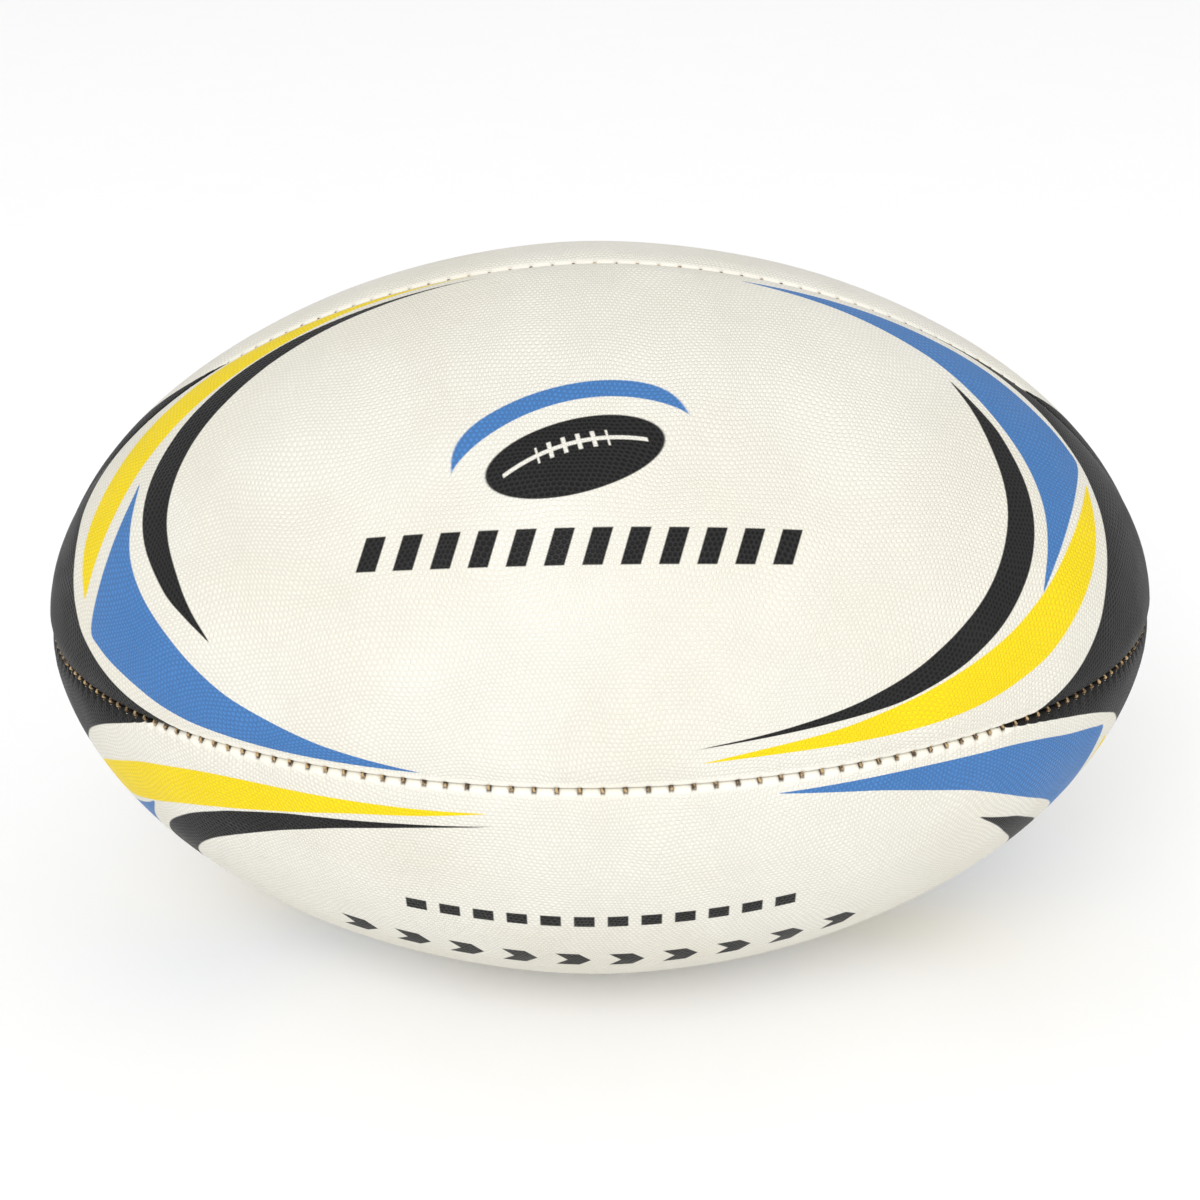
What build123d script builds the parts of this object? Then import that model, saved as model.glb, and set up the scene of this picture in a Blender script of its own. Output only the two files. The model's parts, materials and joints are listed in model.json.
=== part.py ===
from build123d import *
import math
import os

# A size 5 rugby ball of the weighted kind that passing is practised with.  Its long axis lies
# along X, the origin is the middle of the ball, and its four seams run from tip to tip in the
# planes Y = 0 and Z = 0.  From the outside in, a wall is a pimpled rubber cover, a backing
# cloth, a heavy rubber sheet, two more cloths and the bladder.  All sizes are millimetres.

# ---- the ball ----
HALF_LENGTH = 144.0       # middle of the ball to a tip
RADIUS = 95.7             # at the fattest place, for a girth of about 601 mm
FULLNESS = 1.9            # exponent of the profile: 2 is an ellipse, and less has slimmer shoulders
PROFILE_SPANS = 20        # how many spans the profile's spline is drawn in

# ---- the layers of its wall ----
GLUE = 0.02               # bond line between two layers
COVER = 1.2               # thickness of the pimpled rubber
CLOTH = 0.4               # thickness of one backing cloth
WEIGHT = 2.2              # thickness of the heavy rubber sheet
BLADDER = 0.9             # thickness of the bladder's wall

# ---- its seams ----
HALF_GAP = 0.15           # from a seam's plane to the face of each folded edge
FOLD_RADIUS = 1.0         # radius of the folds that make a seam's groove
SEAM_ALLOWANCE = 4.5      # how deep the folded edges reach below the ball's surface
STITCH_PITCH = 5.3        # distance along X between stitches at the middle of the ball
STITCH_TIGHTENING = 0.8   # how much closer the stitches get towards the tips
STITCHES_EACH_WAY = 39    # stitches from the middle one to the last one at a tip
STITCH_DEPTH = 2.2        # depth of the sewing line below the ball's surface
THREAD = 0.8              # diameter of the waxed thread
RUN_WIDTH = 1.0           # the thread is pressed flat where it runs along the back of a fold
RUN_THICKNESS = 0.6
RUN_END = 0.02            # how far a run goes on past its last stitch, as an angle of the profile
NEEDLE_HOLE = 0.9         # diameter of the holes that the thread is sewn through
TRIM = 0.2                # how far the layers that aren't sewn stay clear of the thread

# ---- the valve ----
VALVE_TURN = 45           # from the back seam up to the middle of the back upper panel
VALVE_HOLE = 7.2          # diameter of the hole through the layers
VALVE_RECESS = 0.4        # how far the stem's end lies below the ball's surface
STEM = 6.8                # diameter of the stem
POCKET = 10.0             # diameter of the pocket inside the bladder
POCKET_DEPTH = 17.4       # depth of the pocket's end below the ball's surface
POCKET_END = 1.6          # thickness of the pocket's end
FLANGE = 24.0             # diameter of the flange that is bonded to the bladder
FLANGE_THICKNESS = 1.0
CORE = 4.6                # diameter of the hole for the core
CORE_BULB = 6.2           # diameter of its wide end, which keeps the core in
CORE_BULB_LENGTH = 4.0
CORE_RECESS = 0.6         # how far the core's end lies below the ball's surface
INFLATOR_BORE = 1.8       # diameter of the way through for an inflating needle
PATCH = 34.0              # diameter of the patch over the flange's rim
PATCH_THICKNESS = 0.7
HOLE_RING = 30.0          # diameter of the ring that strengthens the panel round the hole
FIT = 0.1                 # clearance left round the pieces of the valve

# ---- depths below the ball's surface that follow ----
CLOTH_1_TOP = COVER + GLUE
WEIGHT_TOP = CLOTH_1_TOP + CLOTH + GLUE
CLOTH_2_TOP = WEIGHT_TOP + WEIGHT + GLUE
CLOTH_3_TOP = CLOTH_2_TOP + CLOTH + GLUE
BLADDER_TOP = CLOTH_3_TOP + CLOTH + GLUE
FLANGE_TOP = BLADDER_TOP + BLADDER + GLUE
PATCH_TOP = FLANGE_TOP + FLANGE_THICKNESS + GLUE

# ---- distances from a seam's plane that follow ----
SEWN_EDGE = HALF_GAP + CLOTH_1_TOP + CLOTH
TRIMMED_EDGE = SEWN_EDGE + GLUE + RUN_THICKNESS + TRIM

# The back upper panel and the back seam are modelled, and these turns about X give the others.
PANELS = {"back_upper": 0, "front_upper": 90, "front_lower": 180, "back_lower": 270}
SEAMS = {"back": 0, "top": 90, "front": 180, "bottom": 270}
VALVE_PANEL = "back_upper"


def profile_point(angle, depth):
    """(x, r) of the profile, depth below the surface; the angle is 0 at the -X tip and pi at the +X tip."""
    cosine = math.cos(angle)
    x = -HALF_LENGTH * math.copysign(abs(cosine) ** (2 / FULLNESS), cosine)
    r = RADIUS * abs(math.sin(angle)) ** (2 / FULLNESS)
    slope_x = math.copysign((abs(x) / HALF_LENGTH) ** (FULLNESS - 1), x) / HALF_LENGTH
    slope_r = (r / RADIUS) ** (FULLNESS - 1) / RADIUS
    steepness = math.hypot(slope_x, slope_r)
    return x - depth * slope_x / steepness, r - depth * slope_r / steepness


def profile_angle(x):
    """The angle of the surface's profile at x."""
    return math.acos(-math.copysign(abs(x / HALF_LENGTH) ** (FULLNESS / 2), x))


def profile_face(depth):
    """Half of the ball's lengthwise section, depth below the surface, closed along X."""
    inner = [profile_point(math.pi * step / PROFILE_SPANS, depth) for step in range(1, PROFILE_SPANS)]
    tip = HALF_LENGTH - depth
    curve = Spline((-tip, 0), *inner, (tip, 0), tangents=[(0, 1), (0, -1)], tangent_scalars=[1, 1])
    return make_face([curve, Line((tip, 0), (-tip, 0))])


def ball(depth):
    """The whole solid ball, depth below the surface, as two halves that meet at its middle."""
    reach = 2 * HALF_LENGTH
    left = profile_face(depth) & Rectangle(reach, reach, align=(Align.MAX, Align.CENTER))
    half = revolve(left, Axis.X, 360)
    return half + mirror(half, Plane.YZ)


def quarter(depth):
    """The quarter of it between the back seam and the top one."""
    return revolve(profile_face(depth), Axis.X, 90)


def set_in(solid, edge):
    """A quarter with both its flat sides moved in by edge."""
    reach = 2 * HALF_LENGTH
    kept = Box(2 * reach, reach, reach, align=(Align.CENTER, Align.MIN, Align.MIN))
    return solid & (Pos(0, edge, edge) * kept)


def folded_layer(top, thickness):
    """A layer of a panel whose edges are folded in along both seams, down to the seam allowance."""
    outside = set_in(quarter(top), HALF_GAP + top)
    inside = set_in(quarter(top + thickness), HALF_GAP + top + thickness)
    return outside - inside - quarter(SEAM_ALLOWANCE)


def trimmed_layer(top, thickness):
    """A layer of a panel that stops short of the sewing."""
    return set_in(quarter(top) - quarter(top + thickness), TRIMMED_EDGE)


def stitch_stations():
    """x of each stitch at the ball's surface; the pitch tightens from the middle to the tips."""
    root = math.sqrt(STITCH_TIGHTENING)
    numbers = range(-STITCHES_EACH_WAY, STITCHES_EACH_WAY + 1)
    return [HALF_LENGTH / root * math.tanh(n * STITCH_PITCH * root / HALF_LENGTH) for n in numbers]


def stitch_places():
    """(x, r) of each stitch, on the sewing line."""
    return [profile_point(profile_angle(x), STITCH_DEPTH) for x in stitch_stations()]


def needle_holes():
    """Cutters for the needle holes in both folded edges of the back upper panel."""
    drill = Cylinder(NEEDLE_HOLE / 2, TRIMMED_EDGE, align=(Align.CENTER, Align.CENTER, Align.MIN))
    back = [Pos(x, r, 0) * drill for x, r in stitch_places()]
    top = [Pos(x, 0, r) * Rot(-90, 0, 0) * drill for x, r in stitch_places()]
    return back + top


def is_outer_fold(edge):
    """Is this one of the two long edges where a folded side leaves the ball's surface?"""
    middle = edge @ 0.5
    return edge.length > 2 * HALF_LENGTH and math.hypot(middle.Y, middle.Z) > RADIUS - COVER / 2


def cover_layer():
    """The pimpled rubber, with its folds rounded into the groove of each seam."""
    layer = folded_layer(0, COVER)
    rounded = fillet(layer.edges().filter_by(is_outer_fold), FOLD_RADIUS)
    return rounded - needle_holes()


def seam_thread():
    """The lock stitch of the back seam: a run of thread behind each fold, and a bar at each stitch."""
    first, last = (profile_angle(x) for x in (stitch_stations()[0], stitch_stations()[-1]))
    first -= RUN_END
    last += RUN_END
    angles = [first + (last - first) * step / PROFILE_SPANS for step in range(PROFILE_SPANS + 1)]
    upper = Spline(*[profile_point(angle, STITCH_DEPTH - RUN_WIDTH / 2) for angle in angles])
    lower = Spline(*[profile_point(angle, STITCH_DEPTH + RUN_WIDTH / 2) for angle in angles])
    band = make_face([upper, Line(upper @ 1, lower @ 1), lower, Line(lower @ 0, upper @ 0)])
    upper_run = Pos(0, 0, SEWN_EDGE + GLUE) * extrude(band, RUN_THICKNESS, dir=(0, 0, 1))
    lower_run = Pos(0, 0, -SEWN_EDGE - GLUE) * extrude(band, RUN_THICKNESS, dir=(0, 0, -1))
    bar = Cylinder(THREAD / 2, 2 * SEWN_EDGE + RUN_THICKNESS)
    return upper_run.fuse(lower_run, *[Pos(x, r, 0) * bar for x, r in stitch_places()])


def on_valve_axis(solid):
    """Moves a solid from the origin to where the valve leaves the ball, with its Z pointing out."""
    return Rot(VALVE_TURN - 90, 0, 0) * Pos(0, 0, RADIUS) * solid


def valve_cylinder(diameter, top, bottom):
    """A cylinder on the valve's axis, between two depths below the ball's surface."""
    hanging = Cylinder(diameter / 2, bottom - top, align=(Align.CENTER, Align.CENTER, Align.MAX))
    return on_valve_axis(Pos(0, 0, -top) * hanging)


def valve_disc(diameter, top, thickness):
    """A round piece cut from a layer, centred on the valve's axis."""
    return (quarter(top) - quarter(top + thickness)) & valve_cylinder(diameter, 0, POCKET_DEPTH)


def valve_hole(diameter):
    """A cutter for a hole through the whole wall of the ball at the valve."""
    return valve_cylinder(diameter, -FLANGE_THICKNESS, POCKET_DEPTH)


def core_space(clearance):
    """The room for the core inside the valve, less a clearance all round."""
    floor = POCKET_DEPTH - POCKET_END - clearance
    bulb_top = POCKET_DEPTH - POCKET_END - CORE_BULB_LENGTH + clearance
    shaft = valve_cylinder(CORE - 2 * clearance, CORE_RECESS, floor)
    return shaft + valve_cylinder(CORE_BULB - 2 * clearance, bulb_top, floor)


def valve_body():
    """The moulded stem, flange and pocket of the valve, which are bonded to the bladder."""
    body = valve_cylinder(STEM, VALVE_RECESS, FLANGE_TOP + FLANGE_THICKNESS)
    body += valve_disc(FLANGE, FLANGE_TOP, FLANGE_THICKNESS)
    body += valve_cylinder(POCKET, FLANGE_TOP + FLANGE_THICKNESS / 2, POCKET_DEPTH)
    mouth = valve_cylinder(CORE, 0, CORE_RECESS + FIT)
    return body - core_space(0) - mouth - valve_hole(INFLATOR_BORE)


def valve_core():
    """The soft plug that seals the valve, with its way through for the needle."""
    return core_space(FIT / 2) - valve_hole(INFLATOR_BORE)


def valve_patch():
    """The patch that holds the valve's flange to the inside of the bladder."""
    patch = valve_disc(PATCH, FLANGE_TOP, FLANGE_THICKNESS + GLUE + PATCH_THICKNESS)
    room_for_flange = valve_disc(FLANGE + 2 * FIT, FLANGE_TOP, FLANGE_THICKNESS + GLUE)
    return patch - room_for_flange - valve_hole(POCKET + 2 * FIT)


def bladder():
    """The air-tight bladder, with the hole that the valve's stem comes out of."""
    return ball(BLADDER_TOP) - ball(BLADDER_TOP + BLADDER) - valve_hole(STEM + 2 * FIT)


# What each panel is laid up from: the layer's name, its solid and its hole at the valve.
LAYERS = [
    ("cover_panel", cover_layer(), VALVE_HOLE),
    ("backing_cloth_1", folded_layer(CLOTH_1_TOP, CLOTH) - needle_holes(), VALVE_HOLE),
    ("weight_sheet", trimmed_layer(WEIGHT_TOP, WEIGHT), VALVE_HOLE),
    ("backing_cloth_2", trimmed_layer(CLOTH_2_TOP, CLOTH), VALVE_HOLE),
    ("backing_cloth_3", trimmed_layer(CLOTH_3_TOP, CLOTH), HOLE_RING + 2 * FIT),
]


def all_parts():
    """Every sub-part by its node name, where it lies in the ball."""
    parts = {}
    for layer_name, layer, hole in LAYERS:
        for panel_name, turn in PANELS.items():
            solid = layer - valve_hole(hole) if panel_name == VALVE_PANEL else layer
            parts[f"{layer_name}_{panel_name}"] = Rot(turn, 0, 0) * solid
    thread = seam_thread()
    for seam_name, turn in SEAMS.items():
        parts[f"seam_thread_{seam_name}"] = Rot(turn, 0, 0) * thread
    parts["bladder"] = bladder()
    parts["valve_body"] = valve_body()
    parts["valve_core"] = valve_core()
    parts["valve_patch"] = valve_patch()
    parts["valve_hole_ring"] = valve_disc(HOLE_RING, CLOTH_3_TOP, CLOTH) - valve_hole(VALVE_HOLE)
    return parts


os.makedirs("parts", exist_ok=True)
for node_name, part in all_parts().items():
    export_step(part, f"parts/{node_name}.step")
    print(node_name, round(part.volume), "mm3")
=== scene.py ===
import json
import math

import bpy
import numpy as np
from mathutils import Matrix, Vector


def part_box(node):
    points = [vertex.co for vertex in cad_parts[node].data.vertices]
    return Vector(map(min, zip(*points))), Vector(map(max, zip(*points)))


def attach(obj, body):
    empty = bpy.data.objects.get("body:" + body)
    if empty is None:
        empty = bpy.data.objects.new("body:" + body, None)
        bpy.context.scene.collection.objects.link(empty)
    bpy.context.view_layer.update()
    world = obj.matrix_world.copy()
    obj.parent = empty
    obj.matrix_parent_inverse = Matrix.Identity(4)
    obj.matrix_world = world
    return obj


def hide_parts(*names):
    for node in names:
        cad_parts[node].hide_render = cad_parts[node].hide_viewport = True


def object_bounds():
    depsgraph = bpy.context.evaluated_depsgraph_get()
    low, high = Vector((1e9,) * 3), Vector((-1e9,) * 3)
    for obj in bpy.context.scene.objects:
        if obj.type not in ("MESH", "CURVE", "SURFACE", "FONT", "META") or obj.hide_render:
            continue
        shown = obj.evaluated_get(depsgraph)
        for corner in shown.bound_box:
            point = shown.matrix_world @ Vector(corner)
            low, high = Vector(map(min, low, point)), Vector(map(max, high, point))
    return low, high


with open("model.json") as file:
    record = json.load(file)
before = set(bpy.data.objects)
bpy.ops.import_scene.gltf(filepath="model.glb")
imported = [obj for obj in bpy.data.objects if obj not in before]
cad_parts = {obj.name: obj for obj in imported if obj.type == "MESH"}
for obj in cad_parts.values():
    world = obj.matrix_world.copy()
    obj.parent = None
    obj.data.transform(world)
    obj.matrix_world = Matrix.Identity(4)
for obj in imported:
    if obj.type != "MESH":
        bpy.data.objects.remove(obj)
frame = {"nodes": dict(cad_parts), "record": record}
cad_low, cad_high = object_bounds()

# The looks of a weighted rugby ball: four pimpled, printed panels whose folded edges meet in sewn
# grooves, the waxed thread in them, and the materials of everything inside.  Sizes are metres in
# the ball's own frame: X is its long axis, the front seam faces -Y and the top seam +Z.

MM = 0.001
rng = np.random.default_rng(15)

# ---- the ball ----
HALF_LENGTH = (cad_high.x - cad_low.x) / 2
RADIUS = (cad_high.y - cad_low.y) / 2
FULLNESS = 1.9                  # exponent of the profile
QUARTER = math.pi / 4           # half the angle that a panel covers

# ---- a panel's section ----
COVER = 1.2 * MM                # thickness of the rubber
HALF_GAP = 0.12 * MM            # from the seam's plane to the face of a fold
FOLD_RADIUS = 1.3 * MM
ALLOWANCE = 4.4 * MM            # how deep the folded edge reaches
CROWN = [2.2 * MM, 3.2 * MM, 4.6 * MM, 6.6 * MM, 9.0 * MM]   # rows between the fold and the middle
SEAM_DIP = 0.9 * MM             # how far the surface sinks towards a seam
DIP_REACH = 3.4 * MM
FOLD_FOOT = 2.5 * MM            # below this depth a fold is flat and keeps its depth
BACK_DEPTHS = [ALLOWANCE, COVER + 0.3 * MM]   # the two rows of a fold's hidden face
SECTION_SHARE = 0.62            # the most of the distance to the long axis that a seam takes up
WIDEST_SINE = 0.7               # keeps a seam's rows on their own side of the panel's middle
WOBBLE_WAVES = (5, 9, 14)       # how many swells a panel has from tip to tip
WOBBLE_HEIGHT = 0.05 * MM
FOLD_ROWS = 7
MIDDLE_ROWS = 22
INNER_ROWS = 8
TIP_OPENING = 1.1 * MM          # the panels stop this far from the long axis at a tip
TIP_COLUMNS = 16
TIP_PACKING = 1.2               # exponent that sets the tip's columns closer near the first stitch

# ---- the stitches ----
STITCH_PITCH = 5.3 * MM
STITCH_TIGHTENING = 0.8         # how much closer the stitches get towards the tips
STITCHES_EACH_WAY = 42
BETWEEN_STITCHES = [0, 0.07, 0.15, 0.28, 0.5, 0.72, 0.85, 0.93]   # columns, as shares of the pitch
NOTCH_DEPTH = 0.85 * MM         # how far the thread pulls the fold in at each stitch
# The share of that depth at each panel's first edge, and at the last one, which laps the next.
NOTCH_SHARES = {"back_upper": (1.0, 0.15), "front_upper": (0.1, 0.15), "front_lower": (1.0, 0.15),
                "back_lower": (1.0, 0.15)}
NOTCH_LENGTH = 0.66 * MM
THREAD_RADIUS = 0.36 * MM
BAR_REACH = 0.8 * MM            # how far a stitch reaches to each side of the seam's plane
BAR_OFFSET = 0.35 * MM          # how far the stitches sit towards the panel that is lapped
BAR_CREST = 1.2 * MM            # depth of a stitch's middle
BAR_END = 1.95 * MM             # depth of its ends, inside the needle holes
BAR_SLANT = 0.45 * MM
BAR_RINGS, BAR_POINTS = 11, 10
PLIES = 2                       # the thread is twisted from two plies
PLY_TWIST = 2.2                 # half turns from a stitch's middle to its end
PLY_RELIEF = 0.13               # how far the plies stand out, as a share of the radius
RUN_DEPTH = 2.2 * MM            # depth of the runs of thread behind the folds
RUN_OFFSET = 2.1 * MM           # their distance from the seam's plane
RUN_END = 0.02                  # how far they go on past the last stitch, as an angle of the profile
RUN_FLATNESS = 0.6              # their width as a share of their height
RUN_RINGS, RUN_POINTS = 160, 8

PANEL_TURN = {"back_upper": 45, "front_upper": 135, "front_lower": 225, "back_lower": 315}
# Each panel's print: how far it sits off the middle (mm) and its stretch; how far up the panel
# lie its first inks (black and yellow), its last ones (blue and the tips) and its picture
# (degrees); how much of the panel's width the stripes take up; and how far the tips lean
# towards -X at the panel's upper edge (mm).
PRINT_PLACE = {
    "back_upper": dict(shift=1.0, stretch=1.01, first=0.8, last=-0.6, picture=2.2, width=0.68, lean=0),
    "front_upper": dict(shift=-3.1, stretch=1.0, first=1.2, last=-1.3, picture=-0.05, width=1, lean=6),
    "front_lower": dict(shift=0.2, stretch=1.035, first=-1.5, last=0.6, picture=-0.45, width=1, lean=0),
    "back_lower": dict(shift=-1.2, stretch=1.0, first=0.5, last=-0.6, picture=-0.05, width=1, lean=0)}
SEAM_TURN = {"back": 0, "top": 90, "front": 180, "bottom": 270}


# ======================================= the ball's shape =======================================

def profile(angle, depth):
    """x and r of the profile, depth below the surface; the angle is 0 at -X and pi at +X."""
    cosine = np.cos(angle)
    x = -HALF_LENGTH * np.sign(cosine) * np.abs(cosine) ** (2 / FULLNESS)
    r = RADIUS * np.abs(np.sin(angle)) ** (2 / FULLNESS)
    slope_x = np.sign(x) * (np.abs(x) / HALF_LENGTH) ** (FULLNESS - 1) / HALF_LENGTH
    slope_r = (r / RADIUS) ** (FULLNESS - 1) / RADIUS
    steepness = np.hypot(slope_x, slope_r)
    return x - depth * slope_x / steepness, r - depth * slope_r / steepness


def profile_angle(x):
    """The angle of the surface's profile at x."""
    return np.arccos(-np.sign(x) * np.abs(x / HALF_LENGTH) ** (FULLNESS / 2))


def stitch_angles():
    """The profile's angle at each stitch: the pitch tightens from the middle to the tips."""
    root = math.sqrt(STITCH_TIGHTENING)
    numbers = np.arange(-STITCHES_EACH_WAY, STITCHES_EACH_WAY + 1)
    return profile_angle(HALF_LENGTH / root * np.tanh(numbers * STITCH_PITCH * root / HALF_LENGTH))


def columns():
    """The angles of a panel's columns, and each column's place counted in stitches."""
    stitches = stitch_angles()
    numbers = np.arange(len(stitches))
    counted = (numbers[:-1, None] + np.array(BETWEEN_STITCHES)).ravel()
    counted = np.append(counted, numbers[-1])
    angles = np.interp(counted, numbers, stitches)
    tip = np.arcsin((TIP_OPENING / RADIUS) ** (FULLNESS / 2))
    pitch = stitches[1] - stitches[0]
    steps = np.linspace(0, 1, TIP_COLUMNS + 1)[1:] ** TIP_PACKING
    tip_angles = stitches[0] + (tip - stitches[0]) * steps
    tip_counts = (tip_angles - stitches[0]) / pitch
    angles = np.concatenate([tip_angles[::-1], angles, math.pi - tip_angles])
    counted = np.concatenate([tip_counts[::-1], counted, numbers[-1] - tip_counts])
    return angles, counted


def arc_length(angle):
    """Distance along the profile from the middle of the ball, positive towards +X."""
    fine = np.linspace(0, math.pi, 4001)
    x, r = profile(fine, 0)
    lengths = np.concatenate([[0], np.cumsum(np.hypot(np.diff(x), np.diff(r)))])
    return np.interp(angle, fine, lengths) - lengths[-1] / 2


# ======================================== mesh building =========================================

def mesh_object(name, vertices, faces, material):
    """A smooth-shaded mesh object from numpy vertices and a list of faces."""
    mesh = bpy.data.meshes.new(name)
    mesh.from_pydata(vertices.tolist(), [], faces)
    mesh.polygons.foreach_set("use_smooth", [True] * len(mesh.polygons))
    piece = bpy.data.objects.new(name, mesh)
    bpy.context.scene.collection.objects.link(piece)
    mesh.materials.append(material)
    return piece


def loop_faces(column_count, row_count):
    """Quads of a closed tube of column_count rings with row_count points each, and its two caps."""
    column, row = np.meshgrid(np.arange(column_count - 1), np.arange(row_count), indexing="ij")
    following = (row + 1) % row_count
    first, second = column * row_count, (column + 1) * row_count
    quads = np.stack([first + row, second + row, second + following, first + following], axis=-1)
    faces = quads.reshape(-1, 4).tolist()
    last = (column_count - 1) * row_count
    return faces + [list(range(row_count)), list(range(last + row_count - 1, last - 1, -1))]


def add_uv(mesh, name, per_vertex):
    """A UV map that holds one pair of numbers for each vertex."""
    layer = mesh.uv_layers.new(name=name)
    corners = np.empty(len(mesh.loops), int)
    mesh.loops.foreach_get("vertex_index", corners)
    layer.data.foreach_set("uv", per_vertex[corners].astype(np.float32).ravel())


def turned(vertices, degrees):
    """The vertices turned about X."""
    cosine, sine = math.cos(math.radians(degrees)), math.sin(math.radians(degrees))
    x, y, z = vertices.T
    return np.stack([x, y * cosine - z * sine, y * sine + z * cosine], axis=1)


def around(x, r, angle):
    """Points at distance r from the long axis; angle 0 is +Y and a quarter turn is +Z."""
    return np.stack([x, r * np.cos(angle), r * np.sin(angle)], axis=-1)


# ========================================= cover panels =========================================

def fold_rows():
    """The section of one edge, from the foot of the fold to the crown: (distance from the seam's plane,
    depth, share of the notch, and the notch's direction as an angle of the fold)."""
    rows = [(HALF_GAP, ALLOWANCE, 0, 0), (HALF_GAP, 3.0 * MM, 0, 0), (HALF_GAP, 2.0 * MM, 0.25, 0)]
    for turn in np.linspace(0, math.pi / 2, FOLD_ROWS):
        away = HALF_GAP + FOLD_RADIUS * (1 - math.cos(turn))
        depth = FOLD_RADIUS * (1 - math.sin(turn))
        rows.append((away, depth, 0.55 + 0.45 * math.sin(2 * turn), turn))
    for away in CROWN:
        rows.append((away, 0, 0.5 * math.exp(-((away - FOLD_RADIUS) / (1.3 * MM)) ** 2), math.pi / 2))
    return np.array(rows).T


def narrowing(angles):
    """The share of its full width that a seam's section has at each column, less near the tips."""
    return np.minimum(1, SECTION_SHARE * profile(angles, 0)[1][:, None] / CROWN[-1])


def turn_from_seam(away, r):
    """The turn about the long axis that a distance from the seam's plane stands for."""
    return np.arcsin(np.clip(away / r, 0, WIDEST_SINE))


def panel_edge(angles, counted, wobble, notched):
    """x, r, turn from the seam, and distance from it, for each column and row of one edge."""
    away, depth, share, direction = (row[None, :] for row in fold_rows())
    squeeze = narrowing(angles)
    phase = np.abs(counted - np.round(counted))[:, None]
    spacing = np.gradient(arc_length(angles), counted)[:, None]
    along = phase * spacing / NOTCH_LENGTH
    inside = (counted > -0.5) & (counted < 2 * STITCHES_EACH_WAY + 0.5)
    notch = NOTCH_DEPTH * notched * share * np.exp(-along ** 2) * inside[:, None] * squeeze
    dip = SEAM_DIP * np.exp(-(away / DIP_REACH) ** 2) * squeeze * (depth < FOLD_FOOT)
    away = HALF_GAP + (away - HALF_GAP) * squeeze + notch * np.cos(direction)
    depth = np.where(depth > FOLD_FOOT, depth, depth * squeeze) + dip + notch * np.sin(direction)
    depth = depth + wobble * np.clip(away / CROWN[1], 0, 1)
    x, r = profile(angles[:, None] + 0 * away, depth)
    return x, r, turn_from_seam(away, r), away


def panel_section(angles, counted, wobble, notch_shares):
    """x, r, turn from the panel's middle, distance from the seam, and share of the notches, for
    each column and row."""
    first_x, first_r, first_turn, first_away = panel_edge(angles, counted, wobble, notch_shares[0])
    last_edge = panel_edge(angles, counted, wobble, notch_shares[1])
    last_x, last_r, last_turn, last_away = (part[:, ::-1] for part in last_edge)

    shares = np.linspace(0, 1, MIDDLE_ROWS + 2)[None, 1:-1]
    start, end = first_turn[:, -1:] - QUARTER, QUARTER - last_turn[:, :1]
    middle_turn = start + (end - start) * shares
    middle_x, middle_r = profile(angles[:, None] + 0 * middle_turn, wobble + 0 * middle_turn)
    middle_away = middle_r * np.sin(QUARTER - np.abs(middle_turn))

    back_away = (HALF_GAP + COVER * narrowing(angles)) * np.ones((1, 2))
    back_depth = np.array([BACK_DEPTHS]) + 0 * back_away
    back_x, back_r = profile(angles[:, None] + 0 * back_away, back_depth)
    back_turn = turn_from_seam(back_away, back_r)
    inner_turn = (QUARTER - back_turn[:, -1:]) * np.linspace(1, -1, INNER_ROWS + 2)[None, 1:-1]
    inner_x, inner_r = profile(angles[:, None] + 0 * inner_turn, COVER + 0 * inner_turn)

    x = np.hstack([first_x, middle_x, last_x, back_x, inner_x, back_x[:, ::-1]])
    r = np.hstack([first_r, middle_r, last_r, back_r, inner_r, back_r[:, ::-1]])
    turn = np.hstack([first_turn - QUARTER, middle_turn, QUARTER - last_turn,
                      QUARTER - back_turn, inner_turn, (back_turn - QUARTER)[:, ::-1]])
    inner_away = 0 * inner_turn + 2 * COVER
    distance = np.hstack([first_away, middle_away, last_away, 0 * back_away, inner_away, 0 * back_away])
    notched = 0 * distance
    notched[:, :first_away.shape[1]] = notch_shares[0]
    last_start = first_away.shape[1] + middle_away.shape[1]
    notched[:, last_start:last_start + last_away.shape[1]] = notch_shares[1]
    return x, r, turn, distance, notched


def grain_map(angles, turn):
    """Flat coordinates that keep the pimples' size and shape nearly true all over a panel: each
    line round the ball becomes an arc of its true length."""
    angle = angles[:, None] + 0 * turn
    length = arc_length(angle)
    x, r = profile(angle, 0)
    step = 1e-4
    slope = np.abs(profile(angle + step, 0)[1] - profile(angle - step, 0)[1])
    slope = slope / np.maximum(np.abs(arc_length(angle + step) - arc_length(angle - step)), 1e-9)
    bend = turn * np.clip(slope, 1e-3, 1)
    across = r * turn * np.sin(bend) / bend
    along = length + np.sign(length) * r * turn * (1 - np.cos(bend)) / bend
    return np.stack([along, across], axis=-1)


def add_print_maps(mesh, x, turn, shift, stretch, first, last, picture, width, lean):
    """The UV maps of the stripes, the tips and the picture, as shares of the panel's half size."""
    for map_name, rise, scale, lean_here in (
            ("first stripes", first, width, 0), ("last stripes", last, width, 0),
            ("tips", last, 1, lean), ("picture", picture, 1, 0)):
        across = -turn / QUARTER / scale - rise / 45
        along = (x - shift * MM + lean_here * MM * np.clip(across, 0, 1) ** 2) / HALF_LENGTH / stretch
        add_uv(mesh, map_name, np.stack([along, across], axis=-1).reshape(-1, 2))


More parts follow.
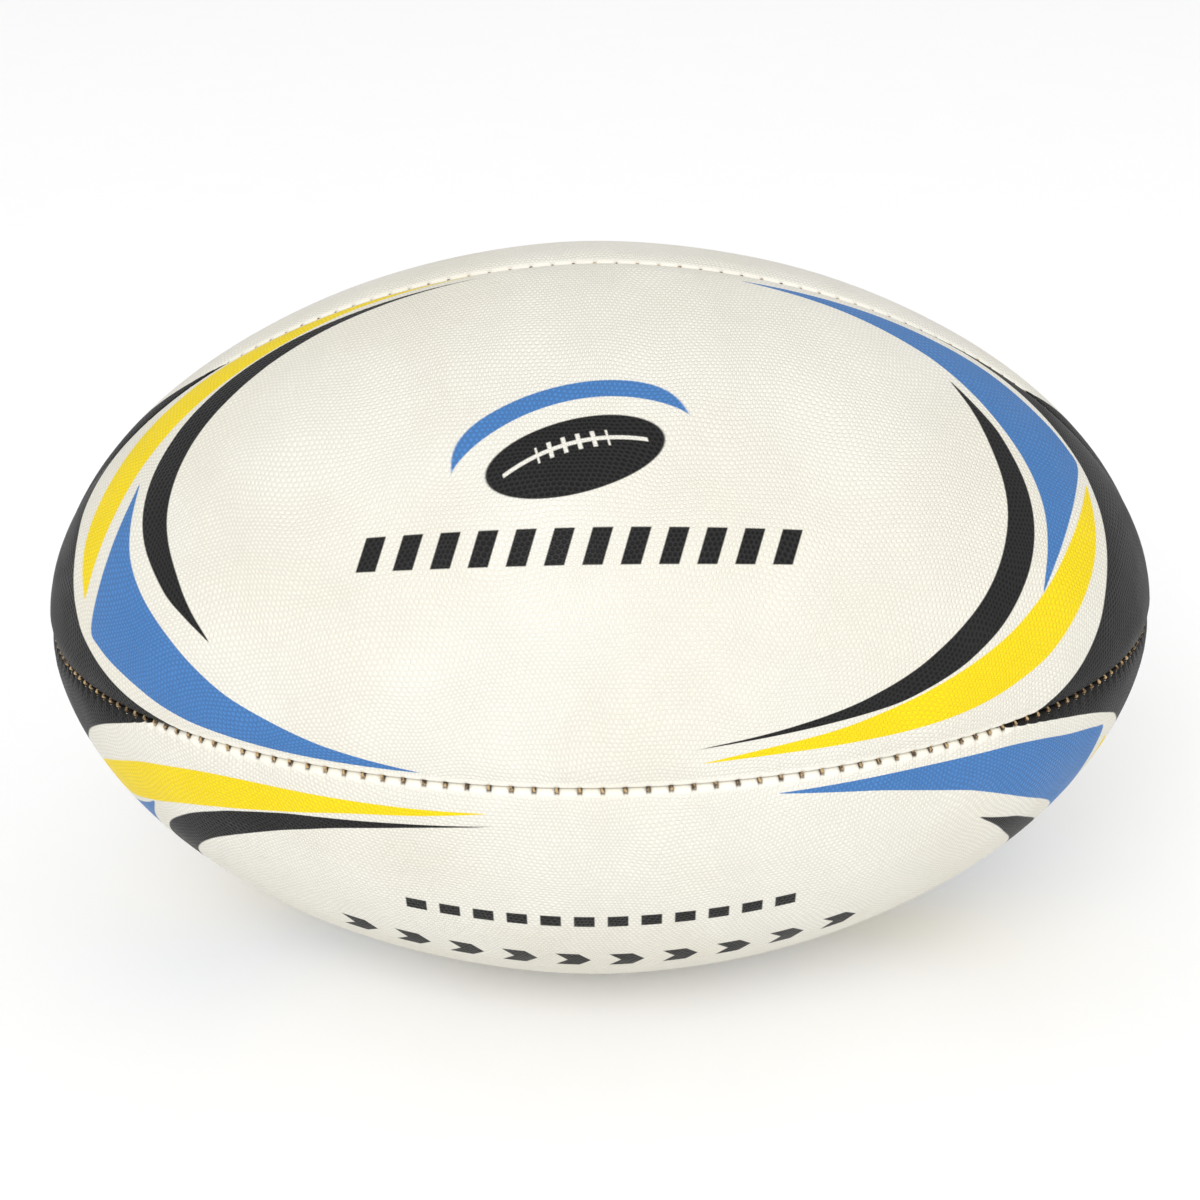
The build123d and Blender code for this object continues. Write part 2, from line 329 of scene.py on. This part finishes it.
def cover_panel(name, degrees, material):
    """One panel's closed shell of rubber: rolled and notched folds, seam allowances and back."""
    angles, counted = columns()
    drift = rng.uniform(0, 2 * math.pi, 3)
    swells = sum(np.sin(angles * waves + start) for waves, start in zip(WOBBLE_WAVES, drift))
    wobble = (WOBBLE_HEIGHT * swells * np.sin(angles))[:, None]
    x, r, turn, distance, notched = panel_section(angles, counted, wobble, NOTCH_SHARES[name])
    vertices = turned(around(x, r, turn).reshape(-1, 3), degrees)
    piece = mesh_object(f"printed_panel_{name}", vertices, loop_faces(*x.shape), material)
    add_print_maps(piece.data, x, turn, **PRINT_PLACE[name])
    add_uv(piece.data, "grain", grain_map(angles, turn).reshape(-1, 2))
    seam_map = np.stack([distance / MM, counted[:, None] + 0 * x], axis=-1)
    add_uv(piece.data, "seam", seam_map.reshape(-1, 2))
    add_uv(piece.data, "notches", np.stack([notched, 0 * notched], axis=-1).reshape(-1, 2))
    return piece


# ============================================ thread ============================================

def swept(centres, sideways, upwards, radii, points):
    """The points of a tube, ring by ring: it has a centre, a radius and two directions across it
    for each ring."""
    turns = np.linspace(0, 2 * math.pi, points, endpoint=False)[None, :, None]
    outwards = sideways[:, None] * np.cos(turns) + upwards[:, None] * np.sin(turns)
    return (centres[:, None] + radii[:, None, None] * outwards).reshape(-1, 3)


def stitch_bar(angle):
    """One stitch of the back seam: a bowed, twisted bar of thread that dives into both folds."""
    steps = np.linspace(-1, 1, BAR_RINGS)
    slant = BAR_SLANT * (1 + rng.normal(0, 0.25))
    radius = THREAD_RADIUS * (1 + rng.normal(0, 0.06))
    depth = BAR_CREST + (BAR_END - BAR_CREST) * steps ** 2 + rng.normal(0, 0.05) * MM
    x, r = profile(angle + 0 * steps, depth)
    centres = np.stack([x + slant * steps / 2, r, BAR_REACH * steps + BAR_OFFSET], axis=1)
    across = np.tile([1.0, 0.0, 0.0], (len(steps), 1))
    outward = np.tile([0.0, 1.0, 0.0], (len(steps), 1))
    plump = radius * (1 - 0.25 * steps ** 4)
    tube = swept(centres, across, outward, plump, BAR_POINTS).reshape(BAR_RINGS, BAR_POINTS, 3)
    plies = np.arange(BAR_POINTS)[None, :] * math.tau / BAR_POINTS * PLIES
    plies = plies + steps[:, None] * math.pi * PLY_TWIST
    tube = centres[:, None] + (tube - centres[:, None]) * (1 + PLY_RELIEF * np.cos(plies))[..., None]
    return tube.reshape(-1, 3), loop_faces(BAR_RINGS, BAR_POINTS)


def thread_run(side):
    """The run of thread behind one fold of the back seam."""
    ends = stitch_angles()[[0, -1]] + np.array([-RUN_END, RUN_END])
    angles = np.linspace(ends[0], ends[1], RUN_RINGS)
    x, r = profile(angles, RUN_DEPTH)
    centres = np.stack([x, r, 0 * x + side * RUN_OFFSET], axis=1)
    outer_x, outer_r = profile(angles, 0)
    outward = np.stack([outer_x - x, outer_r - r, 0 * x], axis=1)
    outward /= np.linalg.norm(outward, axis=1)[:, None]
    sideways = np.tile([0.0, 0.0, 1.0], (len(angles), 1))
    radii = np.full(RUN_RINGS, THREAD_RADIUS)
    points = swept(centres, sideways * RUN_FLATNESS, outward, radii, RUN_POINTS)
    return points, loop_faces(RUN_RINGS, RUN_POINTS)


def seam_thread(name, degrees, material):
    """The whole thread of a seam: a bar at each stitch and a run behind each fold."""
    vertices, faces, count = [], [], 0
    pieces = [stitch_bar(angle) for angle in stitch_angles()] + [thread_run(side) for side in (-1, 1)]
    for points, quads in pieces:
        vertices.append(points)
        faces += [[index + count for index in face] for face in quads]
        count += len(points)
    return mesh_object(f"stitching_{name}", turned(np.concatenate(vertices), degrees), faces, material)


# =========================================== materials ==========================================

class Nodes:
    """A material's node tree with short calls for the nodes used here."""

    def __init__(self, name):
        self.material = bpy.data.materials.new(name)
        self.material.use_nodes = True
        self.tree = self.material.node_tree
        self.shader = self.tree.nodes["Principled BSDF"]

    def add(self, kind, inputs=(), **settings):
        node = self.tree.nodes.new(kind)
        for key, value in settings.items():
            setattr(node, key, value)
        for key, value in dict(inputs).items():
            self.put(value, node.inputs[key])
        return node

    def put(self, value, socket):
        if isinstance(value, bpy.types.NodeSocket):
            self.tree.links.new(value, socket)
        else:
            socket.default_value = value

    def math(self, operation, *values):
        node = self.add("ShaderNodeMath", operation=operation)
        for socket, value in zip(node.inputs, values):
            self.put(value, socket)
        return node.outputs[0]

    def ramp(self, value, low, high, to_low=0.0, to_high=1.0):
        """Smooth change from to_low to to_high as the value goes from low to high."""
        node = self.add("ShaderNodeMapRange", interpolation_type="SMOOTHSTEP")
        for socket, given in zip(node.inputs[:5], (value, low, high, to_low, to_high)):
            self.put(given, socket)
        return node.outputs[0]

    def mix(self, share, one, other):
        """A colour mixed from two."""
        node = self.add("ShaderNodeMix", data_type="RGBA")
        self.put(share, node.inputs[0])
        self.put(one, node.inputs[6])
        self.put(other, node.inputs[7])
        return node.outputs[2]

    def noise(self, vector, scale, detail=2.0, roughness=0.5):
        inputs = {"Vector": vector, "Scale": scale, "Detail": detail, "Roughness": roughness}
        return self.add("ShaderNodeTexNoise", inputs).outputs[0]

    def uv(self, name):
        return self.add("ShaderNodeUVMap", uv_map=name).outputs[0]

    def parts(self, vector):
        return self.add("ShaderNodeSeparateXYZ", {0: vector}).outputs

    def place(self):
        return self.add("ShaderNodeTexCoord").outputs["Object"]

    def bump(self, height, distance, strength):
        inputs = {"Height": height, "Distance": distance, "Strength": strength}
        return self.add("ShaderNodeBump", inputs).outputs[0]

    def finish(self, colour, roughness, normal=None, **fixed):
        """The material, with the shader's fixed values given by their names with _ for a space."""
        self.put(colour, self.shader.inputs["Base Color"])
        self.put(roughness, self.shader.inputs["Roughness"])
        if normal is not None:
            self.put(normal, self.shader.inputs["Normal"])
        for key, value in fixed.items():
            self.shader.inputs[key.replace("_", " ")].default_value = value
        return self.material


def srgb(red, green, blue):
    """A colour given as it looks on a screen, 0 to 255, in the renderer's linear units."""
    values = [v / 255 for v in (red, green, blue)]
    return tuple(v / 12.92 if v <= 0.04045 else ((v + 0.055) / 1.055) ** 2.4 for v in values) + (1,)


WHITE = srgb(230, 227, 217)
CLOUDED_WHITE = srgb(227, 223, 210)
BLUE = srgb(70, 126, 190)
YELLOW = srgb(240, 212, 0)
BLACK = srgb(10, 10, 9)

# The stripes at the left end of every panel's print, as (mm along the ball, degrees round it from
# the panel's lower seam).  The right end is the same turned half a turn.
BLACK_OUTER = [(-22, 85.5), (-50, 83.6), (-70, 81.5), (-80, 79.1), (-89, 75.6), (-98, 69.2),
               (-104.3, 60), (-106.8, 50), (-105.6, 40), (-100.6, 30), (-95.4, 24.6), (-88, 19)]
BLACK_INNER = [(-22, 85.5), (-42, 83.6), (-58, 81.2), (-68, 78.7), (-77, 75.4), (-86, 70.2),
               (-93, 64), (-97.6, 56.5), (-99.8, 48), (-99.2, 40), (-96, 31), (-92.8, 25), (-88, 19)]
YELLOW_OUTER = [(-25, 87.5), (-40, 87.1), (-58, 86.8), (-77, 86.2), (-90, 84.8), (-100, 82.2),
                (-110, 77.3), (-117.2, 69.5), (-122, 60), (-124.4, 50), (-124.8, 40), (-123.8, 29.5)]
YELLOW_INNER = [(-25, 87.5), (-39, 86.1), (-57, 84.3), (-70, 82), (-80, 79.6), (-90, 76.2),
                (-98.5, 72), (-105, 67), (-111.3, 60), (-117, 50), (-120.8, 40.5), (-123.8, 29.5)]
BLUE_OUTER = [(-108.4, 61.5), (-114, 50), (-117.8, 40), (-120.6, 30), (-121.8, 22), (-119.8, 18.2),
              (-114.8, 13.4), (-105, 8), (-96.2, 5.4), (-86.5, 4.2), (-73, 3.4), (-57, 3.1), (-38, 3)]
BLUE_INNER = [(-108.4, 61.5), (-110.2, 50), (-109.6, 40), (-105.3, 30), (-97, 20.4), (-87.5, 13.6),
              (-78, 9.8), (-64, 6.2), (-50, 4.2), (-38, 3)]
CAP_EDGE = [(-70, 95.5), (-84, 93), (-96, 91), (-106, 88.6), (-114.4, 84.4), (-120.4, 78.6), (-124.7, 70),
            (-126.8, 60), (-127.8, 50), (-127.8, 40), (-126.8, 30), (-124.2, 19.6), (-118, 10.4),
            (-109, 4.8), (-98, 2), (-86, 0), (-70, -3)]
CURVE_TOP = 1.4                 # the largest distance that an outline's curve can hold
CURVE_POINTS = 40
STEPS_BETWEEN_POINTS = 12
STRIPE_ENDS = (0.0008, 0.0035)  # a stripe fades out where it is this narrow
EDGE_SOFTNESS = 0.0014          # as a share of half the ball's length


def inked(nodes, inside):
    """1 where the given distance inside an outline is positive, with a slightly soft edge."""
    return nodes.ramp(inside, -EDGE_SOFTNESS, EDGE_SOFTNESS)


def drawn_through(points):
    """A smooth curve through the points of an outline, as rows of (mm, degrees)."""
    points = np.array(points, float)
    ends = 2 * points[[0, -1]] - points[[1, -2]]
    padded = np.vstack([ends[:1], points, ends[1:]])
    before, first, second, after = (padded[start:len(points) - 1 + start] for start in range(4))
    t = np.linspace(0, 1, STEPS_BETWEEN_POINTS)[:, None, None]
    curve = 0.5 * (2 * first + (second - before) * t + (2 * before - 5 * first + 4 * second - after) * t ** 2
                   + (3 * first - before - 3 * second + after) * t ** 3)
    return curve.transpose(1, 0, 2).reshape(-1, 2)


def outline_distance(nodes, turn, outline):
    """The distance of an outline at each turn, 0 to 1 round the end of the ball; the distance's
    circles are rounded rectangles like the panel itself."""
    x, degrees = drawn_through(outline).T
    along, across = np.abs(x) * MM / HALF_LENGTH, (degrees - 45) / 45
    turns = np.arctan2(across, along) / math.pi + 0.5
    outwards = (along ** 4 + across ** 4) ** 0.25
    order = np.argsort(turns)
    places = np.linspace(turns[order[0]], turns[order[-1]], CURVE_POINTS)
    distances = np.interp(places, turns[order], outwards[order]) / CURVE_TOP
    node = nodes.add("ShaderNodeFloatCurve", {"Value": turn})
    curve = node.mapping.curves[0]
    curve.points[0].location = (places[0], distances[0])
    curve.points[1].location = (places[-1], distances[-1])
    for place, distance in zip(places[1:-1], distances[1:-1]):
        curve.points.new(place, distance)
    node.mapping.use_clip = False
    node.mapping.extend = "HORIZONTAL"
    node.mapping.update()
    return nodes.math("MULTIPLY", node.outputs[0], CURVE_TOP)


def stripe(nodes, turn, distance, outer, inner):
    """1 between two outlines and 0 elsewhere."""
    outer_distance = outline_distance(nodes, turn, outer)
    inner_distance = outline_distance(nodes, turn, inner)
    below = inked(nodes, nodes.math("SUBTRACT", outer_distance, distance))
    above = inked(nodes, nodes.math("SUBTRACT", distance, inner_distance))
    exists = nodes.ramp(nodes.math("SUBTRACT", outer_distance, inner_distance), *STRIPE_ENDS)
    return nodes.math("MULTIPLY", nodes.math("MULTIPLY", below, above), exists)


def folded_polar(nodes, place):
    """Turn and distance about the panel's middle, with the right end turned onto the left one."""
    along, across, _ = nodes.parts(place)
    end = nodes.math("SIGN", along)
    folded_across = nodes.math("MULTIPLY", across, nodes.math("MULTIPLY", end, -1))
    turn = nodes.math("ARCTAN2", folded_across, nodes.math("ABSOLUTE", along))
    fourths = [nodes.math("POWER", nodes.math("ABSOLUTE", value), 4) for value in (along, across)]
    distance = nodes.math("POWER", nodes.math("ADD", *fourths), 0.25)
    return nodes.math("MULTIPLY_ADD", turn, 1 / math.pi, 0.5), distance


def printed_stripes(nodes, base):
    """The base colour with the black, yellow and blue stripes and the black tips printed on it."""
    colour = base
    first = folded_polar(nodes, nodes.uv("first stripes"))
    last = folded_polar(nodes, nodes.uv("last stripes"))
    turn, distance = folded_polar(nodes, nodes.uv("tips"))
    for place, outer, inner, ink in ((first, BLACK_OUTER, BLACK_INNER, BLACK),
                                     (first, YELLOW_OUTER, YELLOW_INNER, YELLOW),
                                     (last, BLUE_OUTER, BLUE_INNER, BLUE)):
        colour = nodes.mix(stripe(nodes, *place, outer, inner), colour, ink)
    cap = nodes.math("SUBTRACT", distance, outline_distance(nodes, turn, CAP_EDGE))
    return nodes.mix(inked(nodes, cap), colour, BLACK)


# The middle of a panel carries either a plain picture of an oval ball above a row of slanted bars,
# or a row of dashes above a row of chevrons.  Places are mm from the panel's middle.
BALL_PLACE = (-2, 4)
BALL_TILT = 14                  # degrees
BALL_SIZE = (21, 9.2)           # half its length and half its height
BALL_SEAM = dict(bow=-0.012, lift=3.2, reach=17, half=0.5)
BALL_LACES = dict(pitch=3.4, reach=8.5, half=0.5, height=2.0)
ARC_SIZE = (29, 16.5)
ARC_HALF = (-0.3, 2.4)          # half its thickness, at its foot and at its top
MARK_SOFTNESS = 0.2
BAR_ROW = dict(middle=(-1.5, -17.5), pitch=8.6, count=12, width=4.6, height=8.6, slant=0.3)
DASH_ROW = dict(middle=(-1, 33), pitch=7.8, count=12, width=4.8, height=4.6, slant=0.0)
CHEVRON_ROW = dict(middle=(0, 9.6), pitch=12.8, count=10, width=5.6, height=9.4, slant=0.6)


def between(nodes, value, half):
    """1 where the value's size is below half, in mm, with a slightly soft edge."""
    room = nodes.math("SUBTRACT", half, nodes.math("ABSOLUTE", value))
    return nodes.ramp(room, -MARK_SOFTNESS, MARK_SOFTNESS)


def repeated(nodes, value, pitch):
    """The distance from the middle of the nearest of a row of equal spaces, in mm."""
    return nodes.math("SUBTRACT", nodes.math("WRAP", value, pitch, 0), pitch / 2)


def printed_row(nodes, x, y, row, pointed=False):
    """1 on a row of equal marks: upright or slanted bars, or chevrons where the slant turns back."""
    x = nodes.math("SUBTRACT", x, row["middle"][0])
    y = nodes.math("SUBTRACT", y, row["middle"][1])
    lean = nodes.math("ABSOLUTE", y) if pointed else nodes.math("MULTIPLY", y, -1)
    x = nodes.math("MULTIPLY_ADD", lean, row["slant"], x)
    whole = row["pitch"] * row["count"] / 2
    across = between(nodes, repeated(nodes, x, row["pitch"]), row["width"] / 2)
    mark = nodes.math("MULTIPLY", across, between(nodes, y, row["height"] / 2))
    return nodes.math("MULTIPLY", mark, between(nodes, x, whole))


def oval(nodes, x, y, size):
    """The distance from the middle as a share of an oval's own size."""
    squares = [nodes.math("POWER", nodes.math("ABSOLUTE", nodes.math("DIVIDE", value, half)), 2)
               for value, half in zip((x, y), size)]
    return nodes.math("SQRT", nodes.math("ADD", *squares))


def printed_ball(nodes, x, y, colour):
    """A tilted black oval ball with a white seam and laces, under a blue arc."""
    x = nodes.math("SUBTRACT", x, BALL_PLACE[0])
    y = nodes.math("SUBTRACT", y, BALL_PLACE[1])
    cosine, sine = math.cos(math.radians(BALL_TILT)), math.sin(math.radians(BALL_TILT))
    along = nodes.math("MULTIPLY_ADD", x, cosine, nodes.math("MULTIPLY", y, sine))
    across = nodes.math("MULTIPLY_ADD", y, cosine, nodes.math("MULTIPLY", x, -sine))
    ball = nodes.ramp(oval(nodes, along, across, BALL_SIZE), 1.02, 0.98)
    bow = nodes.math("MULTIPLY", nodes.math("MULTIPLY", along, along), BALL_SEAM["bow"])
    from_seam = nodes.math("SUBTRACT", nodes.math("SUBTRACT", across, bow), BALL_SEAM["lift"])
    seam = between(nodes, from_seam, BALL_SEAM["half"])
    seam = nodes.math("MULTIPLY", seam, between(nodes, along, BALL_SEAM["reach"]))
    lace = between(nodes, repeated(nodes, along, BALL_LACES["pitch"]), BALL_LACES["half"])
    lace = nodes.math("MULTIPLY", lace, between(nodes, from_seam, BALL_LACES["height"]))
    lace = nodes.math("MULTIPLY", lace, between(nodes, along, BALL_LACES["reach"]))
    from_arc = nodes.math("SUBTRACT", oval(nodes, along, across, ARC_SIZE), 1)
    from_arc = nodes.math("MULTIPLY", from_arc, ARC_SIZE[1])
    arc = between(nodes, from_arc, nodes.ramp(across, 1, ARC_SIZE[1], *ARC_HALF))
    colour = nodes.mix(ball, colour, BLACK)
    colour = nodes.mix(nodes.math("MAXIMUM", seam, lace), colour, WHITE)
    return nodes.mix(arc, colour, BLUE)


PIMPLE_PITCH = 1.25 * MM
PIMPLE_HEIGHT = 0.2 * MM
VALLEY_SHADE = (0.55, 0.26)     # how much painted shade the print takes between the pimples: dark ink, white
SHADED_INK = (0.42, 0.022)        # the painted shade between the pimples: a share of the ink, and an even grey
WANDER = [(30, 11 * MM), (150, 0.9 * MM)]   # noises that bend the rows: how fine, and how far
UNEVENNESS = 2.2                # how much the pimples differ in height
NOTCH_SHADE_COLOUR = srgb(58, 42, 28)         # the painted shade in the needle notches, a dark brown


def pimples(nodes):
    """The height of the pimples, 0 to 1: rounded bumps in rows that bend and wander."""
    moved = nodes.uv("grain")
    for scale, reach in WANDER:
        wander = nodes.add("ShaderNodeTexNoise", {"Vector": moved, "Scale": scale, "Detail": 1.0})
        centred = nodes.add("ShaderNodeVectorMath", {0: wander.outputs["Color"], 1: (0.5, 0.5, 0.5)},
                            operation="SUBTRACT")
        moved = nodes.add("ShaderNodeVectorMath", {0: centred.outputs[0], 1: (reach,) * 3, 2: moved},
                          operation="MULTIPLY_ADD").outputs[0]
    waves = None
    for degrees in (30, 90, 150):
        turn = math.radians(degrees)
        spacing = PIMPLE_PITCH * math.sqrt(3) / 2
        direction = (math.cos(turn) * math.tau / spacing, math.sin(turn) * math.tau / spacing, 0)
        dot = nodes.add("ShaderNodeVectorMath", {0: moved, 1: direction}, operation="DOT_PRODUCT")
        wave = nodes.math("COSINE", dot.outputs["Value"])
        waves = wave if waves is None else nodes.math("ADD", waves, wave)
    uneven = nodes.math("SUBTRACT", nodes.noise(moved, 700, 2), 0.5)
    return nodes.ramp(nodes.math("MULTIPLY_ADD", uneven, UNEVENNESS, waves), -1.3, 2.0)


def middle_print(nodes, colour, picture):
    """The colour with the oval ball above its bars, or with the rows of dashes and chevrons."""
    along, across, _ = nodes.parts(nodes.uv("picture"))
    x = nodes.math("MULTIPLY", along, HALF_LENGTH / MM)
    y = nodes.math("MULTIPLY", across, QUARTER * RADIUS / MM)
    if picture:
        colour = printed_ball(nodes, x, y, colour)
        return nodes.mix(printed_row(nodes, x, y, BAR_ROW), colour, BLACK)
    colour = nodes.mix(printed_row(nodes, x, y, DASH_ROW), colour, BLACK)
    return nodes.mix(printed_row(nodes, x, y, CHEVRON_ROW, pointed=True), colour, BLACK)


def shaded_valleys(nodes, colour, valley):
    """The colour with painted shade between the pimples, dark ink more than the white: the print goes
    towards a share of itself plus an even grey, which darkens light colours and turns black ink grey.
    """
    red = nodes.add("ShaderNodeSeparateColor", {0: colour}).outputs[0]
    shade_share = nodes.ramp(red, 0.1, 0.6, *VALLEY_SHADE)
    inputs = {0: colour, 1: (SHADED_INK[0],) * 3, 2: (SHADED_INK[1],) * 3}
    shaded_colour = nodes.add("ShaderNodeVectorMath", inputs, operation="MULTIPLY_ADD").outputs[0]
    return nodes.mix(nodes.math("MULTIPLY", valley, shade_share), colour, shaded_colour)


def shaded_notches(nodes, colour, seam_distance, stitch_count):
    """The colour with painted shade, a dark brown, in the notches where the thread dives into the folds,
    stronger on the more deeply notched edges.
    """
    phase = nodes.math("SUBTRACT", nodes.math("FRACT", nodes.math("ADD", stitch_count, 0.5)), 0.5)
    near = nodes.ramp(nodes.math("ABSOLUTE", phase), 0.16, 0.06)
    notched = nodes.parts(nodes.uv("notches"))[0]
    notch_shade = nodes.math("MULTIPLY", nodes.math("MULTIPLY", near, notched), nodes.ramp(seam_distance, 1.6, 1))
    return nodes.mix(nodes.math("MULTIPLY", notch_shade, 0.85), colour, NOTCH_SHADE_COLOUR)


def cover_rubber(picture):
    """Printed, pimpled rubber, with the oval ball or the rows of marks in a panel's middle."""
    nodes = Nodes("cover_rubber_ball" if picture else "cover_rubber_rows")
    height = pimples(nodes)
    seam_distance, stitch_count, _ = nodes.parts(nodes.uv("seam"))
    stretched = nodes.ramp(seam_distance, 0.6, 2.6, 0.15, 1)
    place = nodes.place()
    cloudy = nodes.noise(place, 18, 3)
    colour = nodes.mix(nodes.ramp(cloudy, 0.35, 0.65), WHITE, CLOUDED_WHITE)
    colour = printed_stripes(nodes, colour)
    colour = middle_print(nodes, colour, picture)
    # Painted shade between the pimples: light print is darkened there and black ink turned grey, less near
    # the seams.
    valley = nodes.math("MULTIPLY", nodes.math("SUBTRACT", 1, height), stretched)
    colour = shaded_valleys(nodes, colour, valley)
    # Painted shade in the needle notches, a dark brown.
    colour = shaded_notches(nodes, colour, seam_distance, stitch_count)
    normal = nodes.bump(nodes.math("MULTIPLY", height, stretched), PIMPLE_HEIGHT, 1.0)
    roughness = nodes.ramp(nodes.noise(place, 60, 2), 0.3, 0.7, 0.45, 0.55)
    return nodes.finish(colour, roughness, normal, Specular_IOR_Level=0.18)


def waxed_thread():
    """Tan thread, mottled at random with dark brown patches of wax and dirt."""
    nodes = Nodes("waxed_thread")
    place = nodes.place()
    patches = nodes.noise(place, 900, 3, 0.6)
    colour = nodes.mix(nodes.ramp(patches, 0.4, 0.62), srgb(182, 154, 112), srgb(74, 54, 34))
    normal = nodes.bump(nodes.noise(place, 5000, 2), 0.05 * MM, 0.6)
    return nodes.finish(colour, 0.55, normal, Specular_IOR_Level=0.4)


def woven_cloth():
    """Unbleached plain weave."""
    nodes = Nodes("backing_cloth")
    place = nodes.place()
    inputs = {"Vector": place, "Scale": 320, "Distortion": 0.6}
    threads = [nodes.add("ShaderNodeTexWave", inputs, bands_direction=way).outputs[1] for way in "XZ"]
    weave = nodes.math("MAXIMUM", *threads)
    colour = nodes.mix(weave, srgb(196, 188, 166), srgb(226, 220, 202))
    return nodes.finish(colour, 0.9, nodes.bump(weave, 0.1 * MM, 0.7), Sheen_Weight=0.2)


def plain_rubber(name, light, dark, roughness):
    """Smooth moulded rubber with a faint bloom and fine grain."""
    nodes = Nodes(name)
    place = nodes.place()
    bloom = nodes.noise(place, 45, 4, 0.6)
    colour = nodes.mix(nodes.ramp(bloom, 0.3, 0.7), dark, light)
    normal = nodes.bump(nodes.noise(place, 2500, 2), 0.03 * MM, 0.5)
    rough = nodes.ramp(bloom, 0.3, 0.7, roughness - 0.06, roughness + 0.06)
    return nodes.finish(colour, rough, normal, Specular_IOR_Level=0.4)


BALL_PRINT = cover_rubber(picture=True)
ROWS_PRINT = cover_rubber(picture=False)
PANEL_PRINT = {"back_upper": ROWS_PRINT, "front_upper": BALL_PRINT, "front_lower": ROWS_PRINT,
               "back_lower": BALL_PRINT}
MATERIALS = {
    "cover_rubber": BALL_PRINT,
    "waxed_thread": waxed_thread(),
    "backing_cloth": woven_cloth(),
    "weight_rubber": plain_rubber("weight_rubber", srgb(86, 86, 88), srgb(66, 66, 70), 0.6),
    "bladder_rubber": plain_rubber("bladder_rubber", srgb(52, 52, 52), srgb(38, 38, 39), 0.45),
    "valve_rubber": plain_rubber("valve_rubber", srgb(44, 44, 44), srgb(30, 30, 30), 0.5),
    "core_rubber": plain_rubber("core_rubber", srgb(205, 196, 176), srgb(180, 168, 146), 0.55),
}


# ====================================== putting it together =====================================

def dress_cad_nodes():
    """Every CAD node gets the material of its slot."""
    for entry in frame["record"]["subparts"]:
        node = frame["nodes"][entry["node"]]
        node.data.materials.clear()
        node.data.materials.append(MATERIALS[entry["material_slot"]])


def add_piece(piece, node):
    """A detailed piece that stands for one CAD node."""
    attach(piece, "root")
    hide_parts(node)


VALVE_HOLE_RADIUS = 3.6 * MM


def cut_valve_hole(piece):
    """Cuts the hole for the valve through a panel, where the CAD panel has it."""
    low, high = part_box("valve_body")
    middle = (low + high) / 2
    outward = Vector((0, middle.y, middle.z)).normalized()
    bpy.ops.mesh.primitive_cylinder_add(vertices=48, radius=VALVE_HOLE_RADIUS, depth=40 * MM)
    cutter = bpy.context.object
    cutter.rotation_euler = outward.to_track_quat("Z", "Y").to_euler()
    cutter.location = outward * RADIUS
    modifier = piece.modifiers.new("valve_hole", "BOOLEAN")
    modifier.operation = "DIFFERENCE"
    modifier.object = cutter
    modifier.solver = "EXACT"
    bpy.context.view_layer.update()
    cut = bpy.data.meshes.new_from_object(piece.evaluated_get(bpy.context.evaluated_depsgraph_get()))
    piece.modifiers.clear()
    piece.data = cut
    bpy.data.objects.remove(cutter)


def build_ball():
    """The four printed panels and the four seams' thread, each in its CAD node's stead."""
    for name, degrees in PANEL_TURN.items():
        piece = cover_panel(name, degrees, PANEL_PRINT[name])
        if name == "back_upper":
            cut_valve_hole(piece)
        add_piece(piece, f"cover_panel_{name}")
    for name, degrees in SEAM_TURN.items():
        piece = seam_thread(name, degrees, MATERIALS["waxed_thread"])
        add_piece(piece, f"seam_thread_{name}")


# ==================================== floor, lights and camera ==================================

FLOOR_COLOURS = srgb(250, 250, 250), srgb(248, 248, 248)
FLOOR_SIZE = 30 * RADIUS        # half its width
WORLD_LIGHT = 0.78
LIGHTS = {"key": dict(place=(-0.9, -3.7, 2.8), size=3.0, power=128),
          "fill": dict(place=(3.0, -3.2, 1.3), size=3.0, power=32),
          "back": dict(place=(0.5, 4.0, 3.0), size=4.0, power=12)}
CAMERA_DISTANCE = 6.5 * RADIUS
CAMERA_ELEVATION = 26.2
CAMERA_ROLL = 0.85
CAMERA_VIEW = 28.6              # angle of view, in degrees
CAMERA_SHIFT = 0.006            # moves the ball a little below the picture's middle


def floor():
    """A plain pale floor that the ball rests on."""
    nodes = Nodes("floor")
    speckle = nodes.noise(nodes.place(), 40, 2)
    nodes.finish(nodes.mix(speckle, *FLOOR_COLOURS), 0.7)
    corners = np.array([(-1, -1, 0), (1, -1, 0), (1, 1, 0), (-1, 1, 0)]) * FLOOR_SIZE
    plane = mesh_object("floor", corners + np.array([0, 0, cad_low.z]), [[0, 1, 2, 3]], nodes.material)


def area_light(name, place, size, power):
    """A soft square light that faces the ball."""
    light = bpy.data.lights.new(name, "AREA")
    light.size = size
    light.energy = power
    lamp = bpy.data.objects.new(name, light)
    lamp.location = place
    lamp.rotation_euler = (-Vector(place)).to_track_quat("-Z", "Y").to_euler()
    bpy.context.scene.collection.objects.link(lamp)


def studio():
    """The floor and a soft, nearly white light from all sides."""
    floor()
    world = bpy.data.worlds.new("studio")
    world.use_nodes = True
    background = world.node_tree.nodes["Background"]
    background.inputs["Color"].default_value = (1, 1, 1, 1)
    background.inputs["Strength"].default_value = WORLD_LIGHT
    bpy.context.scene.world = world
    for name, light in LIGHTS.items():
        area_light(name, **light)
    bpy.context.scene.view_settings.view_transform = "Standard"


def camera():
    """The camera, above and in front of the ball, slightly rolled."""
    data = bpy.data.cameras.new("camera")
    data.angle = math.radians(CAMERA_VIEW)
    data.shift_y = CAMERA_SHIFT
    data.clip_start = 0.01
    eye = bpy.data.objects.new("camera", data)
    lift = math.radians(CAMERA_ELEVATION)
    eye.location = Vector((0, -math.cos(lift), math.sin(lift))) * CAMERA_DISTANCE
    aim = (-eye.location).to_track_quat("-Z", "Y").to_matrix().to_4x4()
    roll = aim @ Matrix.Rotation(math.radians(-CAMERA_ROLL), 4, "Z")
    eye.rotation_euler = roll.to_euler()
    bpy.context.scene.collection.objects.link(eye)
    bpy.context.scene.camera = eye


camera()
dress_cad_nodes()
build_ball()
studio()
